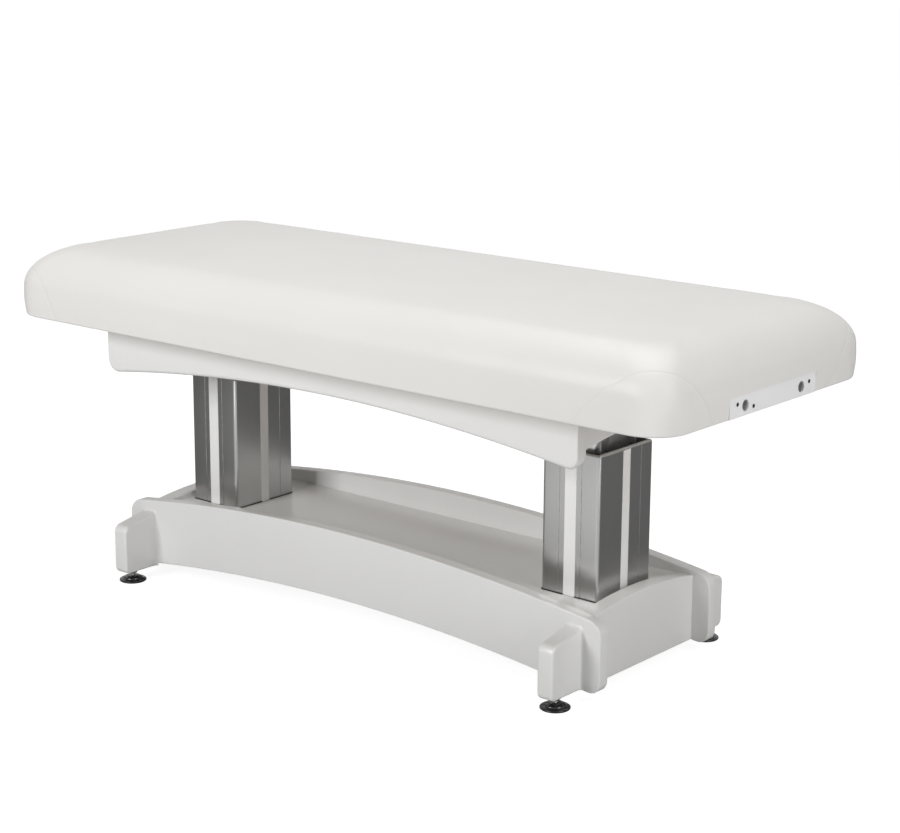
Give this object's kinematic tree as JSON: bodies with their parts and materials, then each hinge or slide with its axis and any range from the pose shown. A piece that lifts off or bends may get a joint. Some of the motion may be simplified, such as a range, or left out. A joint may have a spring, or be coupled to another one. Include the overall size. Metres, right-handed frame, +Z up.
{
  "type": "spa treatment table",
  "caption": "Padded spa treatment table: a thick crowned cushion on an arched base, raised and lowered by electric telescopic columns, with levelling feet and face-rest sockets at one end.",
  "frame": {"origin": "on the floor under the middle of the cushion, with the levelling feet on the floor", "axes": "+Z up, +X along the table towards the end with the face-rest plate, -Y towards the near long side"},
  "size_m": [1.854, 0.76, 0.794],
  "materials": {
    "frame_paint": "satin",
    "black_plastic": "satin",
    "zinc_steel": "satin",
    "anodised_aluminium": "satin",
    "strip_plastic": "satin",
    "gasket_rubber": "matte",
    "motor_casting": "matte",
    "birch_plywood": "matte",
    "foam": "matte",
    "upholstery_vinyl": "satin",
    "plate_paint": "satin"
  },
  "bodies": {
    "base": {"base_rail_near": "frame_paint", "base_rail_far": "frame_paint", "base_end_rail_left": "frame_paint", "base_end_rail_right": "frame_paint", "base_deck": "frame_paint", "outrigger_near_left": "frame_paint", "outrigger_near_right": "frame_paint", "outrigger_far_left": "frame_paint", "outrigger_far_right": "frame_paint", "column_cradle_left": "zinc_steel", "column_cradle_right": "zinc_steel", "column_outer_left": "anodised_aluminium", "column_outer_right": "anodised_aluminium", "column_strip_left_near": "strip_plastic", "column_strip_left_far": "strip_plastic", "column_strip_left_inner": "strip_plastic", "column_strip_left_outer": "strip_plastic", "column_strip_right_near": "strip_plastic", "column_strip_right_far": "strip_plastic", "column_strip_right_inner": "strip_plastic", "column_strip_right_outer": "strip_plastic", "column_gasket_left": "gasket_rubber", "column_gasket_right": "gasket_rubber", "column_collar_left": "black_plastic", "column_collar_right": "black_plastic", "drive_tube_left": "zinc_steel", "drive_tube_right": "zinc_steel"},
    "top": {"column_inner_left": "anodised_aluminium", "column_inner_right": "anodised_aluminium", "lift_motor_left": "motor_casting", "lift_motor_right": "motor_casting", "upper_rail_near": "frame_paint", "upper_rail_far": "frame_paint", "upper_end_rail_left": "frame_paint", "upper_end_rail_right": "frame_paint", "top_board": "birch_plywood", "top_foam": "foam", "top_cover": "upholstery_vinyl", "face_rest_plate": "plate_paint", "face_rest_sleeve_near": "zinc_steel", "face_rest_sleeve_far": "zinc_steel", "plate_screw_near_inner": "black_plastic", "plate_screw_near_outer": "black_plastic", "plate_screw_far_outer": "black_plastic", "control_box": "black_plastic", "mains_inlet": "black_plastic", "motor_lead_left": "black_plastic", "motor_lead_right": "black_plastic"},
    "spindle_left": {"spindle_left": "zinc_steel"},
    "spindle_right": {"spindle_right": "zinc_steel"},
    "pad_near_left": {"leveler_pad_near_left": "black_plastic"},
    "pad_near_right": {"leveler_pad_near_right": "black_plastic"},
    "pad_far_left": {"leveler_pad_far_left": "black_plastic"},
    "pad_far_right": {"leveler_pad_far_right": "black_plastic"},
    "stud_near_left": {"leveler_stud_near_left": "zinc_steel"},
    "stud_near_right": {"leveler_stud_near_right": "zinc_steel"},
    "stud_far_left": {"leveler_stud_far_left": "zinc_steel"},
    "stud_far_right": {"leveler_stud_far_right": "zinc_steel"}
  },
  "joints": [
    {"name": "lift", "type": "slide", "parent": "base", "child": "top", "axis": [0, 0, 1], "range_m": [-0.11, 0.19]},
    {"name": "spindle_left_turn", "type": "hinge", "parent": "top", "child": "spindle_left", "pos_m": [-0.543, 0, 0.182], "axis": [0, 0, 1], "range_deg": [-3961, 6841]},
    {"name": "spindle_right_turn", "type": "hinge", "parent": "top", "child": "spindle_right", "pos_m": [0.509, 0, 0.182], "axis": [0, 0, 1], "range_deg": [-3961, 6841]},
    {"name": "pad_near_left_slide", "type": "slide", "parent": "base", "child": "pad_near_left", "axis": [0, 0, -1], "range_m": [0, 0.02]},
    {"name": "pad_near_right_slide", "type": "slide", "parent": "base", "child": "pad_near_right", "axis": [0, 0, -1], "range_m": [0, 0.02]},
    {"name": "pad_far_left_slide", "type": "slide", "parent": "base", "child": "pad_far_left", "axis": [0, 0, -1], "range_m": [0, 0.02]},
    {"name": "pad_far_right_slide", "type": "slide", "parent": "base", "child": "pad_far_right", "axis": [0, 0, -1], "range_m": [0, 0.02]},
    {"name": "stud_near_left_turn", "type": "hinge", "parent": "pad_near_left", "child": "stud_near_left", "pos_m": [-0.6455, -0.273, 0.006], "axis": [0, 0, -1], "range_deg": [0, 4800]},
    {"name": "stud_near_right_turn", "type": "hinge", "parent": "pad_near_right", "child": "stud_near_right", "pos_m": [0.6115, -0.273, 0.006], "axis": [0, 0, -1], "range_deg": [0, 4800]},
    {"name": "stud_far_left_turn", "type": "hinge", "parent": "pad_far_left", "child": "stud_far_left", "pos_m": [-0.6455, 0.273, 0.006], "axis": [0, 0, -1], "range_deg": [0, 4800]},
    {"name": "stud_far_right_turn", "type": "hinge", "parent": "pad_far_right", "child": "stud_far_right", "pos_m": [0.6115, 0.273, 0.006], "axis": [0, 0, -1], "range_deg": [0, 4800]}
  ],
  "couplings": [
    {"joint": "spindle_left_turn", "follows": "lift", "rad_per_m": 628.32},
    {"joint": "spindle_right_turn", "follows": "lift", "rad_per_m": 628.32},
    {"joint": "stud_near_left_turn", "follows": "pad_near_left_slide", "rad_per_m": 4188.8},
    {"joint": "stud_near_right_turn", "follows": "pad_near_right_slide", "rad_per_m": 4188.8},
    {"joint": "stud_far_left_turn", "follows": "pad_far_left_slide", "rad_per_m": 4188.8},
    {"joint": "stud_far_right_turn", "follows": "pad_far_right_slide", "rad_per_m": 4188.8}
  ]
}
